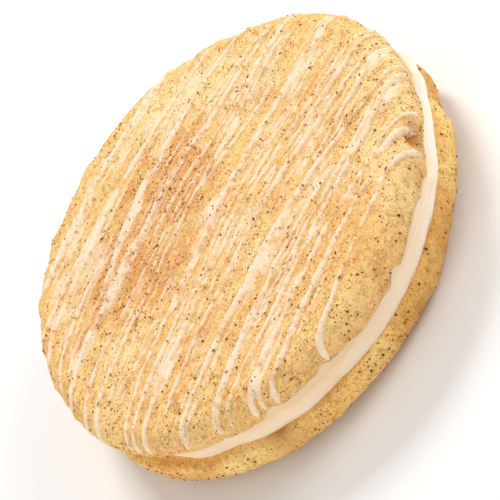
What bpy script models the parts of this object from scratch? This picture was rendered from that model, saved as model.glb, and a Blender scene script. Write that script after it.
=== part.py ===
"""A snickerdoodle sandwich cookie: two soft round biscuits, a cream filling between them, and icing drizzled
over the upper biscuit. Lengths are in millimetres up to the last step, which makes the meshes in metres.

The frame has its origin under the middle of the cookie, on the surface that it rests on. +Z is up, and +X is
the way the icing was drizzled."""

import math

import bmesh
import bpy
import numpy as np

METRES = 0.001
GAP = 0.3

# Both biscuits, across and round the edge.
BISCUIT_RADIUS = 45.0
SHOULDER_ROUND = 4.2
HEEL_ROUND = 1.2

# Heights, from the surface up.
LOWER_THICKNESS = 8.5
LOWER_CROWN = 1.0
CREAM_SPACE = 4.2
UPPER_SIDE = 5.8
UPPER_CROWN = 1.0
LOWER_TOP = LOWER_THICKNESS
UPPER_BASE = LOWER_THICKNESS + CREAM_SPACE

# The flat spot that the lower biscuit lies on, how far that biscuit sits off the middle, and how far the whole
# cookie is moved to have its box's middle over the origin.
REST_RADIUS = 20.0
LOWER_SHIFT = (-0.4, 0.0)
PLACE = (-0.18, -0.06)

# The cream comes out nearly as far as the rims, and bulges between them.
CREAM_RADIUS = 44.5
CREAM_BULGE = 0.8
CREAM_WAVES = ((3, 0.12, 80.0), (7, 0.10, 150.0))
CREAM_LUMPS = (
    (-11.5, 1.4, 3.2),
    (-18.0, 1.0, 4.5),
    (-35.0, -0.5, 9.0),
    (-88.0, 0.75, 14.0),
    (-111.0, 0.5, 5.0),
    (-132.0, -0.75, 5.0),
    (-144.0, 0.5, 4.0),
    (-165.0, -1.8, 24.0),
    (140.0, -0.7, 25.0),
    (40.0, -0.4, 20.0),
)

# How finely each face is divided.
SEGMENTS = 72
DOME_RUNS = (9.0, 18.0, 26.0, 33.0, 38.0)
SHOULDER_STEPS = 5
HEEL_STEPS = 2
STRAND_STEP = 5.5
RIM_STEP = 1.9

# Slow waves round the outline: (waves a turn, height, turn in degrees).
UPPER_OUTLINE_WAVES = ((2, 0.16, 20.0), (3, 0.20, 200.0), (5, 0.18, 75.0), (8, 0.14, 140.0), (13, 0.10, 10.0))
LOWER_OUTLINE_WAVES = ((2, 0.18, 110.0), (3, 0.16, 30.0), (6, 0.18, 250.0), (9, 0.12, 60.0), (14, 0.10, 190.0))

# Lumps and hollows of the outline: (degrees round from +X, how far out, width in degrees).
UPPER_LUMPS = (
    (-38.0, -0.3, 8.0),
    (-27.5, -0.7, 5.5),
    (-14.5, -0.4, 2.5),
    (-2.0, 0.3, 6.0),
    (8.0, 0.6, 6.0),
    (16.0, 0.5, 10.0),
    (27.0, -0.3, 6.0),
    (43.0, -1.3, 7.0),
    (57.5, -0.7, 4.0),
    (76.0, 0.35, 8.0),
    (97.0, 0.75, 5.0),
    (115.0, -0.3, 4.0),
    (120.0, 0.7, 4.0),
    (152.0, 0.6, 5.0),
    (157.0, -1.1, 8.0),
    (169.0, -0.7, 5.0),
    (175.0, -0.6, 8.0),
    (194.0, -0.3, 11.0),
)
LOWER_LUMPS = (
    (-172.0, -0.6, 9.0),
    (-144.0, 0.4, 8.0),
    (-131.0, 0.45, 8.0),
    (-108.0, 0.35, 5.0),
    (-88.0, -0.4, 4.0),
    (-72.0, 0.5, 6.0),
    (-46.0, -0.7, 12.0),
    (-28.0, 0.45, 4.0),
    (-20.0, -0.4, 3.0),
    (-12.0, 1.0, 5.0),
    (-1.0, -0.9, 6.0),
    (40.0, 0.4, 12.0),
)

# Gentle swells of the crust: (length of one wave, its direction in degrees, height, phase in degrees).
CRUST_SWELLS = ((34.0, 15.0, 0.20, 40.0), (27.0, 105.0, 0.15, 210.0))

# A hollow low on the near right of the upper rim: degrees round, run from the centre, depth, and reach each way.
RIM_HOLLOW = {"turn": -42.0, "run": 46.2, "depth": 1.6, "reach": 2.4, "rise": 1.8}

# Each pass of the icing: where it crosses the lines 30 mm left of the middle, through the middle and 30 mm
# right of it, where it starts and ends along X, its width, and where along X it is fullest.
DRIZZLE = (
    (30.0, 37.7, 38.9, -37, 20, 1.9, -18),
    (21.1, 29.7, 31.7, -41, 27, 1.7, -18),
    (9.8, 22.6, 27.0, -24, 34, 2.0, -8),
    (15.8, 23.5, 22.0, -44, -12, 1.0, -34),
    (9.2, 15.8, 19.3, -46, 37, 2.2, -20),
    (3.2, 9.6, 13.5, -48, 8, 1.2, -47),
    (-1.0, 7.2, 14.2, -46, 36, 1.4, -40),
    (5.0, 11.2, 16.0, 6, 41, 1.0, 30),
    (3.0, 6.8, 8.6, 3, 28, 1.0, 18),
    (-10.4, -1.2, 4.8, -46, 46, 1.7, 10),
    (-13.3, -4.6, 1.5, -47, 38, 1.2, -40),
    (-16.4, -7.8, -3.4, -46, 47, 1.6, -29),
    (-15.0, -9.0, -5.6, 9, 46, 1.2, 36),
    (-20.7, -12.3, -8.6, -34, 46, 1.4, 18),
    (-26.0, -18.5, -12.1, 17, 47, 1.5, 41),
    (-26.0, -18.4, -15.7, -38, 47, 2.0, 0),
    (-33.8, -22.8, -19.5, -31, 21, 1.8, -20),
    (-29.5, -25.2, -19.1, -9, 34, 1.2, 24),
    (-31.0, -27.2, -20.6, 4, 43, 1.9, 38),
    (-36.0, -27.8, -25.0, -30, 12, 1.2, -12),
    (-41.0, -30.6, -26.0, -25, 41, 1.6, -16),
    (-44.6, -34.4, -28.4, -20, 17, 1.5, -4),
    (-54.0, -40.2, -31.0, -8, 13, 1.2, -3),
    (-22.1, -25.1, -28.1, 25, 40, 2.0, 35),
    (-28.9, -30.7, -32.5, 21, 36, 1.4, 28),
)
LINES_APART = 30.0
THIN_SHARE = 0.55
FULL_REACH = 14.0
ICING_HEIGHT = 0.40
ICING_SUNK = 0.6

# Past one run from the centre the icing turns down over the edge, and at the other it stops. Over the edge it
# leans this much towards straight down at first, and this much more by the end of the turn.
TURN_RUN = 42.8
LAST_RUN = 47.6
FIRST_LEAN = 0.2
TURN_SHARE = 0.6
TURN_LENGTH = 5.0

# The −X ends of all passes sag towards the near side: beyond this line, by this much for each square millimetre.
SAG_LINE = -35.0
SAG = 0.035

COLOURS = {
    "upper_biscuit": ((0.80, 0.53, 0.27), 0.85),
    "cream_filling": ((0.95, 0.87, 0.74), 0.55),
    "lower_biscuit": ((0.74, 0.46, 0.21), 0.88),
}


def outline(turn, waves, lumps):
    """How far the outline stands out of a true circle at an angle in radians: waves round it, and single lumps."""
    out = sum(height * np.cos(count * turn + math.radians(phase)) for count, height, phase in waves)
    for at, height, width in lumps:
        away = np.angle(np.exp(1j * (turn - math.radians(at))))
        out = out + height * np.exp(-((away / math.radians(width)) ** 2))
    return out


def swell(x, y):
    """The gentle rise and fall of a crust at a place in plan, as a sum of straight waves."""
    total = 0.0
    for length, direction, height, phase in CRUST_SWELLS:
        along = x * math.cos(math.radians(direction)) + y * math.sin(math.radians(direction))
        total = total + height * np.sin(2 * math.pi * along / length + math.radians(phase))
    return total


def side_profile(run, side, crown):
    """(radius, height) at a run along a biscuit's outer face, from its centre over the dome, round the shoulder,
    down the wall and round the heel. The dome is a parabola, and the shoulder and heel are arcs."""
    flat = BISCUIT_RADIUS - SHOULDER_ROUND
    wall = side - SHOULDER_ROUND - HEEL_ROUND
    shoulder_end = flat + SHOULDER_ROUND * math.pi / 2
    wall_end = shoulder_end + wall
    shoulder = (run - flat) / SHOULDER_ROUND
    heel = (run - wall_end) / HEEL_ROUND
    parts = [run <= flat, run <= shoulder_end, run <= wall_end]
    radius = np.select(
        parts,
        [run, flat + SHOULDER_ROUND * np.sin(shoulder), BISCUIT_RADIUS + 0 * run],
        BISCUIT_RADIUS - HEEL_ROUND * (1 - np.cos(heel)),
    )
    height = np.select(
        parts,
        [
            side + crown * (1 - (run / flat) ** 2),
            side - SHOULDER_ROUND * (1 - np.cos(shoulder)),
            HEEL_ROUND + wall_end - run,
        ],
        HEEL_ROUND * (1 - np.sin(heel)),
    )
    return radius, height


def face_runs(side):
    """The runs at which a biscuit's outer face has its rings, and where the face ends."""
    flat = BISCUIT_RADIUS - SHOULDER_ROUND
    shoulder_end = flat + SHOULDER_ROUND * math.pi / 2
    wall_end = shoulder_end + side - SHOULDER_ROUND - HEEL_ROUND
    end = wall_end + HEEL_ROUND * math.pi / 2
    return [
        *DOME_RUNS,
        *np.linspace(flat, shoulder_end, SHOULDER_STEPS + 1),
        *np.linspace(wall_end, end, HEEL_STEPS + 1),
    ]


def upper_face(run, turn):
    """A place on the upper biscuit's outer face, at a run from its centre and an angle, as an array of x, y, z."""
    radius, height = side_profile(run, UPPER_SIDE, UPPER_CROWN)
    level = height / UPPER_SIDE
    out = outline(turn, UPPER_OUTLINE_WAVES, UPPER_LUMPS) * (radius / BISCUIT_RADIUS) ** 3
    around = np.angle(np.exp(1j * (turn - math.radians(RIM_HOLLOW["turn"])))) * BISCUIT_RADIUS
    hollow = np.exp(-((around / RIM_HOLLOW["reach"]) ** 2) - ((run - RIM_HOLLOW["run"]) / RIM_HOLLOW["rise"]) ** 2)
    radius = radius + out - RIM_HOLLOW["depth"] * hollow
    x, y = radius * np.cos(turn), radius * np.sin(turn)
    z = UPPER_BASE + height + swell(x, y) * np.clip(level, 0, 1) ** 2
    return np.stack([x, y, z], -1)


def turns():
    """The angles at which every ring has its points."""
    return np.arange(SEGMENTS) * 2 * math.pi / SEGMENTS


def closed_rings(name, low, rings, high):
    """An object made of rings stacked from a low centre point to a high one, each joined to the next by triangles."""
    bm = bmesh.new()
    first = bm.verts.new(low)
    rows = [[bm.verts.new(point) for point in ring] for ring in rings]
    last = bm.verts.new(high)
    for k in range(SEGMENTS):
        after = (k + 1) % SEGMENTS
        bm.faces.new((first, rows[0][after], rows[0][k]))
        for below, above in zip(rows, rows[1:]):
            bm.faces.new((below[k], below[after], above[after], above[k]))
        bm.faces.new((rows[-1][k], rows[-1][after], last))
    return finished(name, bm)


def finished(name, bm):
    """The object of a bmesh in millimetres: triangles, faces outward, smooth, scaled to metres, and coloured."""
    bmesh.ops.triangulate(bm, faces=bm.faces)
    bmesh.ops.recalc_face_normals(bm, faces=bm.faces)
    bmesh.ops.translate(bm, vec=(*PLACE, 0), verts=bm.verts)
    bmesh.ops.scale(bm, vec=(METRES,) * 3, verts=bm.verts)
    mesh = bpy.data.meshes.new(name)
    bm.to_mesh(mesh)
    bm.free()
    mesh.shade_smooth()
    obj = bpy.data.objects.new(name, mesh)
    bpy.context.scene.collection.objects.link(obj)
    return obj


def painted(obj):
    """Gives an object its own plain material."""
    colour, roughness = COLOURS[obj.name]
    material = bpy.data.materials.new(obj.name)
    material.use_nodes = True
    shader = material.node_tree.nodes["Principled BSDF"]
    shader.inputs["Base Color"].default_value = (*colour, 1.0)
    shader.inputs["Roughness"].default_value = roughness
    obj.data.materials.clear()
    obj.data.materials.append(material)
    return obj


def upper_biscuit():
    """The upper biscuit without its icing: a flat underside, and the domed outer face over it."""
    turn = turns()
    face = [upper_face(np.full(SEGMENTS, run), turn) for run in reversed(face_runs(UPPER_SIDE))]
    top = upper_face(np.array(0.0), np.array(0.0))
    return closed_rings("upper_biscuit", (0, 0, UPPER_BASE), face, top)


def lower_biscuit():
    """The lower biscuit, upside down: a flat face under the cream, and a dome below with a flat spot to lie on."""
    turn = turns()
    side = LOWER_THICKNESS - LOWER_CROWN
    out = outline(turn, LOWER_OUTLINE_WAVES, LOWER_LUMPS)
    rings = []
    for run in [REST_RADIUS, *[r for r in face_runs(side) if r > REST_RADIUS + 1]]:
        radius, height = side_profile(np.full(SEGMENTS, run), side, LOWER_CROWN)
        radius = radius + out * (radius / BISCUIT_RADIUS) ** 3
        x, y = radius * np.cos(turn), radius * np.sin(turn)
        depth = height + swell(y, x) * (height > HEEL_ROUND)
        if run == REST_RADIUS:
            depth = LOWER_THICKNESS + 0 * height
        depth = np.clip(depth, 0, LOWER_THICKNESS)
        rings.append(np.stack([x + LOWER_SHIFT[0], y + LOWER_SHIFT[1], LOWER_TOP - depth], -1))
    return closed_rings("lower_biscuit", (*LOWER_SHIFT, 0), rings, (*LOWER_SHIFT, LOWER_TOP))


def cream_filling():
    """The cream: a disc with a softly bulging edge, proud of the rims at the right end and set in at the left."""
    turn = turns()
    low, high = LOWER_TOP + GAP, UPPER_BASE - GAP
    edge = CREAM_RADIUS + outline(turn, CREAM_WAVES, CREAM_LUMPS)
    rings = []
    for share in (0.0, 0.12, 0.3, 0.5, 0.7, 0.88, 1.0):
        bulge = CREAM_BULGE * (1 - (2 * share - 1) ** 2)
        radius = edge - CREAM_BULGE + bulge
        height = np.full(SEGMENTS, low + share * (high - low))
        rings.append(np.stack([radius * np.cos(turn), radius * np.sin(turn), height], -1))
    return closed_rings("cream_filling", (0, 0, low), rings, (0, 0, high))


def strand_path(left, middle, right, start, end):
    """The route of one pass in plan. It is the parabola through its three heights, and sags at its −X end. Past the
    shoulder it curves towards straight down the wall. Its steps are short where it goes over the edge."""
    slope = (right - left) / (2 * LINES_APART)
    bend = (right + left - 2 * middle) / (2 * LINES_APART**2)
    x = np.linspace(start, end, 240)
    y = middle + slope * x + bend * x**2 - SAG * np.clip(SAG_LINE - x, 0, None) ** 2
    route = np.stack([x, y], -1)
    inside = np.hypot(x, y) < TURN_RUN
    route = route[inside]
    before = over_edge(route[0], route[0] - route[1])[::-1]
    after = over_edge(route[-1], route[-1] - route[-2])
    route = np.concatenate([before, route, after])
    away = np.hypot(*route.T)
    kept = [route[0]]
    for point, run in zip(route, away):
        step = RIM_STEP if run > TURN_RUN - 3 else STRAND_STEP
        if np.hypot(*(point - kept[-1])) >= step:
            kept.append(point)
    return np.array(kept)


def over_edge(point, heading):
    """The rest of a pass beyond the shoulder, from a point of it: nothing if it stopped on top."""
    run = math.hypot(*point)
    if run < TURN_RUN - 1:
        return np.empty((0, 2))
    down, course = point / run, heading / math.hypot(*heading)
    step = 0.4
    turned = np.clip(np.arange(0, 2 * (LAST_RUN - run), step) / TURN_LENGTH, 0, 1)[:, None]
    lean = FIRST_LEAN + TURN_SHARE * turned * turned * (3 - 2 * turned)
    moves = lean * down + (1 - lean) * course
    moves /= np.linalg.norm(moves, axis=1, keepdims=True)
    route = point + step * np.cumsum(moves, 0)
    return route[np.hypot(*route.T) < LAST_RUN]


def strand(number, left, middle, right, start, end, width, fullest):
    """One pass of icing, as a low ridge carried along its route: five points across, sunk a little in the crust,
    fullest at one place and thin elsewhere, and closed at both ends."""
    route = strand_path(left, middle, right, start, end)
    place = on_upper(route)
    step = 0.05
    across_x = on_upper(route + [step, 0]) - place
    across_y = on_upper(route + [0, step]) - place
    normal = np.cross(across_x, across_y)
    normal /= np.linalg.norm(normal, axis=1, keepdims=True)
    along = np.gradient(place, axis=0)
    side = np.cross(normal, along)
    side /= np.linalg.norm(side, axis=1, keepdims=True)
    half = 0.5 * width * (THIN_SHARE + (1 - THIN_SHARE) * np.exp(-(((route[:, 0] - fullest) / FULL_REACH) ** 2)))
    half[[0, -1]] *= 0.6
    height = ICING_HEIGHT * np.sqrt(2 * half)
    section = ((-1.0, None), (-0.6, 0.75), (0.0, 1.0), (0.6, 0.75), (1.0, None))
    bm = bmesh.new()
    rows = []
    for share, rise in section:
        lift = -ICING_SUNK + 0 * height if rise is None else rise * height
        points = place + side * (share * half)[:, None] + normal * lift[:, None]
        rows.append([bm.verts.new(point) for point in points])
    for one, other in zip(rows, rows[1:] + rows[:1]):
        for k in range(len(route) - 1):
            bm.faces.new((one[k], one[k + 1], other[k + 1], other[k]))
    bm.faces.new([row[0] for row in rows])
    bm.faces.new([row[-1] for row in rows])
    return finished(f"strand_{number}", bm)


def on_upper(route):
    """The places on the upper biscuit's face under points of a plan in which that face is rolled out flat."""
    return upper_face(np.hypot(route[:, 0], route[:, 1]), np.arctan2(route[:, 1], route[:, 0]))


def drizzled(biscuit):
    """Fuses every pass of icing to the biscuit with one union, applies it, and clears the passes away."""
    passes = bpy.data.collections.new("icing_passes")
    bpy.context.scene.collection.children.link(passes)
    for number, row in enumerate(DRIZZLE):
        obj = strand(number, *row)
        bpy.context.scene.collection.objects.unlink(obj)
        passes.objects.link(obj)
    union = biscuit.modifiers.new("icing", "BOOLEAN")
    union.operation = "UNION"
    union.operand_type = "COLLECTION"
    union.collection = passes
    union.solver = "EXACT"
    bpy.context.view_layer.update()
    graph = bpy.context.evaluated_depsgraph_get()
    fused = bpy.data.meshes.new_from_object(biscuit.evaluated_get(graph))
    biscuit.modifiers.clear()
    biscuit.data = fused
    for obj in list(passes.objects):
        bpy.data.objects.remove(obj)
    bpy.data.collections.remove(passes)
    return biscuit


def main():
    for obj in list(bpy.data.objects):
        bpy.data.objects.remove(obj)
    painted(lower_biscuit())
    painted(cream_filling())
    painted(drizzled(upper_biscuit()))


main()
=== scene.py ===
"""The looks of the snickerdoodle sandwich cookie: speckled crusts, soaked-in icing, and smooth cream.

Lengths are in millimetres up to mesh_piece, which makes the meshes in metres. A place on the upper crust is
given in plan, as (u, v): the crust's outer face rolled out flat from its centre, with u along +X."""

import math
from itertools import combinations

import bpy
import numpy as np
from mathutils import Matrix, Vector


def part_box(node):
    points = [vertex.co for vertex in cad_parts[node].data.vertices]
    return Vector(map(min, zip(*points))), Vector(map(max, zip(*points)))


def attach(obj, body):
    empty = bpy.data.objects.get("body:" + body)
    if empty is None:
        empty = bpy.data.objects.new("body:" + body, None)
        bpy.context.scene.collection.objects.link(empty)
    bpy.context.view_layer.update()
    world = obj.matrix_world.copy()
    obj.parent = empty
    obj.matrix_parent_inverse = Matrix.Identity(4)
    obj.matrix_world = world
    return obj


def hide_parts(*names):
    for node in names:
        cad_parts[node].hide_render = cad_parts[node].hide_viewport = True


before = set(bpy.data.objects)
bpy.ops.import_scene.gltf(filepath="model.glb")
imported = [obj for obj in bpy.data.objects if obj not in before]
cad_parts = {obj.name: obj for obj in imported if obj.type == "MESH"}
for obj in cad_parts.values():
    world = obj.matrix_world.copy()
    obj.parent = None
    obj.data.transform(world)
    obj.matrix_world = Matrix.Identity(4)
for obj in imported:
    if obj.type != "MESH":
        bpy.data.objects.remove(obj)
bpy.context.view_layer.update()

METRES = 0.001
BODY = "root"

# The biscuits' sizes and places. The heights are the frame's own. PLACE moves the whole cookie, so that
# the middle of its box is at the origin.
BISCUIT_RADIUS = 45.0
SHOULDER_ROUND = 4.2
HEEL_ROUND = 1.2
CROWN = 1.0
UPPER_SIDE = 5.8
LOWER_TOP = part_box("lower_biscuit")[1].z / METRES
UPPER_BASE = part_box("upper_biscuit")[0].z / METRES
LOWER_SIDE = LOWER_TOP - CROWN
REST_RADIUS = 20.0
REST_FADE = 6.0
LOWER_SHIFT = (-0.4, 0.0)
PLACE = (-0.18, -0.06)

# Slow waves round each outline: (waves a turn, height, turn in degrees), and its lumps and hollows:
# (degrees round from +X, how far out, width in degrees).
UPPER_OUTLINE_WAVES = ((2, 0.16, 20), (3, 0.2, 200), (5, 0.18, 75), (8, 0.14, 140), (13, 0.1, 10))
LOWER_OUTLINE_WAVES = ((2, 0.18, 110), (3, 0.16, 30), (6, 0.18, 250), (9, 0.12, 60), (14, 0.1, 190))
UPPER_LUMPS = (
    (-38, -0.3, 8), (-27.5, -0.7, 5.5), (-14.5, -0.4, 2.5), (-2, 0.3, 6), (8, 0.6, 6),
    (16, 0.5, 10), (27, -0.3, 6), (43, -1.3, 7), (57.5, -0.7, 4), (76, 0.35, 8), (97, 0.75, 5),
    (115, -0.3, 4), (120, 0.7, 4), (152, 0.6, 5), (157, -1.1, 8), (169, -0.7, 5), (175, -0.6, 8),
    (194, -0.3, 11),
)
LOWER_LUMPS = (
    (-172, -0.6, 9), (-144, 0.4, 8), (-131, 0.45, 8), (-108, 0.35, 5), (-88, -0.4, 4),
    (-72, 0.5, 6), (-46, -0.7, 12), (-28, 0.45, 4), (-20, -0.4, 3), (-12, 1, 5), (-1, -0.9, 6),
    (40, 0.4, 12),
)

# Slow swells of the crusts: (length, direction, height, turn in degrees).
CRUST_SWELLS = ((34.0, 15.0, 0.20, 40.0), (27.0, 105.0, 0.15, 210.0))

# The hollow in the upper rim, and the pit at its foot.
RIM_HOLLOW = {"turn": -42.0, "run": 46.2, "depth": 1.6, "reach": 2.4, "rise": 1.8}
PIT = {"turn": -42.0, "run": 46.0, "depth": 1.7, "reach": 1.8, "rise": 1.3}

# The cream's edge: its radius, its bulge, its distance from the upper crust where it climbs, its reach
# into the lower biscuit and into both, how far its top is drawn in, and its ripples: (size, height).
CREAM_RADIUS = 44.5
CREAM_BULGE = 0.8
CREAM_OVER = 0.24
CREAM_INTO_LOWER = 0.2
CREAM_INTO_BOTH = 0.3
CREAM_TOP_IN = 0.9
CREAM_RIPPLES = ((7.0, 0.16), (2.4, 0.06))
CREAM_WAVES = ((3, 0.12, 80.0), (7, 0.10, 150.0))
CREAM_LUMPS = (
    (-11.5, 1.4, 3.2), (-18, 1, 4.5), (-35, -0.5, 9), (-88, 0.75, 14), (-111, 0.5, 5),
    (-132, -0.75, 5), (-144, 0.5, 4), (-165, -1.8, 24), (140, -0.7, 25), (40, -0.4, 20),
)

# Where the cream climbs over the upper biscuit's heel: (degrees round, how high, width in degrees), and
# how uneven that is.
CLIMB_UNEVEN = 0.15
CREAM_CLIMBS = (
    (-54, 1.2, 3), (-61, 1.8, 6.5), (-69, 0.9, 5), (-76.2, 2, 2), (-84.5, 0.5, 4),
    (-94.5, 1.1, 2.2), (-98.5, 0.5, 2), (-101.9, 1.1, 1.4), (-107, 1.9, 10), (-117.6, 2.1, 2.7),
    (-129, 0.5, 2.5), (-140, 0.4, 8), (60, 0.8, 9), (122, 0.9, 6),
)

# How finely the pieces are divided.
UPPER_GRID = 280
LOWER_GRID = 230
CREAM_TURNS = 720
CREAM_STEPS = 26

# The relief of the crusts: (size of a bump, its height), the depth of its pits, how much rougher the
# wall is, and how much of it the icing fills.
CRUST_BUMPS = ((9.0, 0.10), (4.2, 0.12), (2.1, 0.085), (1.1, 0.06))
CRUMB_PIT_DEPTH = 0.10
WALL_RELIEF = 0.6
ICING_FILL = 0.45

# Each pass of the icing: where it crosses the lines 30 mm left of the middle, through it and 30 mm right
# of it, where it starts and ends along X, its width, and where along X it is fullest.
DRIZZLE = (
    (30, 37.7, 38.9, -37, 20, 1.9, -18), (21.1, 29.7, 31.7, -41, 27, 1.7, -18),
    (9.8, 22.6, 27, -24, 34, 2, -8), (15.8, 23.5, 22, -44, -12, 1, -34),
    (9.2, 15.8, 19.3, -46, 37, 2.2, -20), (3.2, 9.6, 13.5, -48, 8, 1.2, -47),
    (-1, 7.2, 14.2, -46, 36, 1.4, -40), (5, 11.2, 16, 6, 41, 1, 30), (3, 6.8, 8.6, 3, 28, 1, 18),
    (-10.4, -1.2, 4.8, -46, 46, 1.7, 10), (-13.3, -4.6, 1.5, -47, 38, 1.2, -40),
    (-16.4, -7.8, -3.4, -46, 47, 1.6, -29), (-15, -9, -5.6, 9, 46, 1.2, 36),
    (-20.7, -12.3, -8.6, -34, 46, 1.4, 18), (-26, -18.5, -12.1, 17, 47, 1.5, 41),
    (-26, -18.4, -15.7, -38, 47, 2, 0), (-33.8, -22.8, -19.5, -31, 21, 1.8, -20),
    (-29.5, -25.2, -19.1, -9, 34, 1.2, 24), (-31, -27.2, -20.6, 4, 43, 1.9, 38),
    (-36, -27.8, -25, -30, 12, 1.2, -12), (-41, -30.6, -26, -25, 41, 1.6, -16),
    (-44.6, -34.4, -28.4, -20, 17, 1.5, -4), (-54, -40.2, -31, -8, 13, 1.2, -3),
    (-22.1, -25.1, -28.1, 25, 40, 2, 35), (-28.9, -30.7, -32.5, 21, 36, 1.4, 28),
)

# Thin threads of the icing, likewise, too low for the solid.
THREADS = (
    (24, 30.8, 33, -38, -4, 1.1, -20), (19, 21.8, 21.2, 12, 38, 1.1, 28),
    (5, 12.2, 16, -9, 8, 1, 0), (-7.2, -6.6, -8, -38, -12, 1, -27),
    (-12, -6.2, -0.6, 8, 33, 0.9, 20), (-14.9, -6.1, -3.5, -22, 9, 0.9, -5),
    (-18.2, -10, -7, -26, 8, 1, -12), (-54, -40.2, -31, 13, 26, 0.9, 20),
    (-44.6, -34.4, -28.4, 17, 28, 0.9, 20),
)

# How thick each kind lies, as a share of a full pass.
THICKNESS = {"pass": 1.0, "thread": 0.75, "companion": 0.65, "fine": 0.5}

# The thinner pass beside each pass: how far off, its width, its shortest length, and the last line.
COMPANION_GAP = (1.1, 2.1)
COMPANION_WIDTHS = (0.6, 1.0)
COMPANION_SHORTEST = 10
COMPANION_LAST = 38

# The finest threads: how many, where they cross the middle line, their rise 30 mm left and right of it,
# their lengths and widths, the circle that they stay in, and how far from its end they start at the latest.
FINE_THREADS = 34
FINE_MIDDLES = (-36, 34)
FINE_LEFT = 7.6
FINE_RIGHT = 4.4
FINE_LENGTHS = (10, 34)
FINE_WIDTHS = (0.5, 0.9)
FINE_CIRCLE = 42
FINE_LATEST = 12

# How a pass runs: the spacing of its points, where its three lines are, its sag past a line at −X, its
# sway as (size, row of the noise, reach), and how it turns down over the edge.
ROUTE_STEP = 0.3
LINES_APART = 30.0
SAG_LINE = -35.0
SAG = 0.035
SWAYS = ((5.0, 3.7, 0.28), (1.8, 1.2, 0.12))
TURN_RUN = 42.8
LAST_RUN = 47.6
TURN_FIRST = 0.2
TURN_SHARE = 0.6
TURN_LENGTH = 5.0
SLOWEST_DOWN = 0.75

# A pass along its way: its width away from its fullest point, how fast it thins, how uneven it is, and
# the taper at its ends.
THIN_SHARE = 0.55
FULL_REACH = 14.0
WIDTH_UNEVEN = 0.22
WIDTH_WAVE = 3.1
TAPER = 2.5
TAPER_FIRST = 0.25
END_THICKNESS = 0.3

# Where the icing has run together: (u, v, half its length, half its width, how thick it lies).
POOLS = (
    (-9, 19.2, 5, 1.7, 1), (-20, 11.6, 9, 1.9, 0.9), (1.5, 22.8, 3.5, 1.2, 1),
    (2, 0.6, 2.6, 2.2, 0.8), (3, -18.3, 10, 1.4, 1), (-28, -16.2, 5, 1.5, 0.9),
    (-11, -4.3, 6, 1.2, 0.8), (38, -20.2, 5, 1.2, 1), (-15, 33.8, 8, 1.2, 0.7),
    (12, 39, 8, 1.5, 0.7), (20, 31.7, 8, 1.2, 0.6), (-20, 25, 7, 1.2, 0.7), (41, -11, 4, 1.3, 0.8),
    (34, 4.8, 8, 1.3, 0.7),
)
POOL_TILT = 0.22
POOL_HEIGHT = 0.30

# Where spice dust lies thickest: (u, v, reach, strength).
DUST_PATCHES = (
    (-18, 15, 10, 0.75), (-6, 11, 11, 0.95), (5, 18, 9, 0.9), (-14, 2, 8, 0.45),
    (6.2, 8.1, 3.5, 0.6), (-16.4, 18.1, 4, 0.3), (33, -2, 6, 0.2), (-30, 8, 8, 0.3),
)

# Where the film of icing lies thickest, likewise.
FILM_PATCHES = ((-21, 25.5, 12, 0.4), (2, 32, 10, 0.3), (-18, -27, 10, 0.25), (-40, 4, 7, 0.1))

# Browner and paler places, likewise; some browner ones are painted shade, and one paler one painted light.
UPPER_BROWN_AND_SHADE = (
    # The second patch is painted shade in the pit.
    (29.5, -36.5, 3.5, 0.9), (34.3, -30.9, 2.6, 2.2), (-14, -45, 6, 0.3), (16, -36, 9, 0.25),
)
UPPER_PALE = (
    (8, 38, 16, 0.7), (30, 22, 12, 0.7), (36, 2, 10, 0.5), (34, -22, 12, 1.1), (44, -6, 9, 0.6),
    (-6, 8, 3, 0.6), (-40, -6, 11, 0.8), (-28, 26, 9, 0.4), (22.5, -37, 7, 0.9),
)
LOWER_BROWN_AND_SHADE = (
    # The second and fourth patches are painted shade on the near side.
    (-25.9, -43.1, 4.5, 1.6), (23.5, -40.7, 9, 1), (35, -31, 4, 0.3), (8.2, -46.3, 7, 0.7),
    (47.3, -12.7, 6, 0.8),
)
# The third patch, at the near left of the lower biscuit, is painted light.
LOWER_PALE_AND_LIT = ((42, -21.5, 4.5, 1.3), (-2.5, -46.9, 4, 1), (-26, -40, 14, 1.3), (34.5, -32.5, 6, 0.5))

# Small dimples of the upper crust, likewise, with the depth last.
DIMPLES = ((-3.8, 1.2, 1.7, 0.4), (-2, 0.2, 0.9, 0.2), (6.2, 8.1, 1.6, 0.2), (-16, 17, 1.4, 0.2))

# The icing across a pass: the height of one 1 mm wide, how wide its edge is, and how far past it the
# crust is soaked. Then how thickly the thin smears between the passes lie, and their slant, and how worn
# the icing is: its mean, and (size, depth) of the wear.
ICING_HEIGHT = 0.40
ICING_EDGE = 0.35
SOAK_REACH = 0.9
SMEAR_SHARE = 0.6
SMEAR_SLANT = 0.2
SMEAR_STRETCH = 4
ICING_KEPT = 0.75
ICING_WEAR = ((4.0, 0.3), (0.9, 0.4))

# How much dust dims the icing under it, how brown the foot of a wall is, and the heights where that
# ends: over the foot of the upper wall, and over the floor.
DUST_HIDES = 0.2
WALL_FOOT_BROWN = 0.6
UPPER_BROWN_HEIGHT = 4.5
LOWER_BROWN_HEIGHT = 7.0

# The icing's combed streaks: their angle in radians, and how much longer they are than wide.
COMB_TURN = 0.21
COMB_STRETCH = 12.0

# The scattered pieces: how many are tried, and their sizes. A speck's is drawn about its middle size and
# held within limits.
UPPER_SPECKS = 6500
LOWER_SPECKS = 3700
SPECK_SIZE = 0.14
SPECK_SPREAD = 0.42
SPECK_LIMITS = (0.06, 0.30)
LOWER_SPECK_SCALE = 1.25
SPECKS_HIDDEN = 0.6
CRUMBS = 9000
CRUMB_SIZES = (0.09, 0.22)
BARE_COVER = 0.35

# The camera: its height in degrees, how far the picture is turned, and what it looks at.
CAMERA_ELEVATION = 38.84
CAMERA_ROLL = 54.34
CAMERA_DISTANCE = 510.0
CAMERA_LENS = 201.3
CAMERA_TARGET = (-0.653, -7.282, 13.08)


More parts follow.
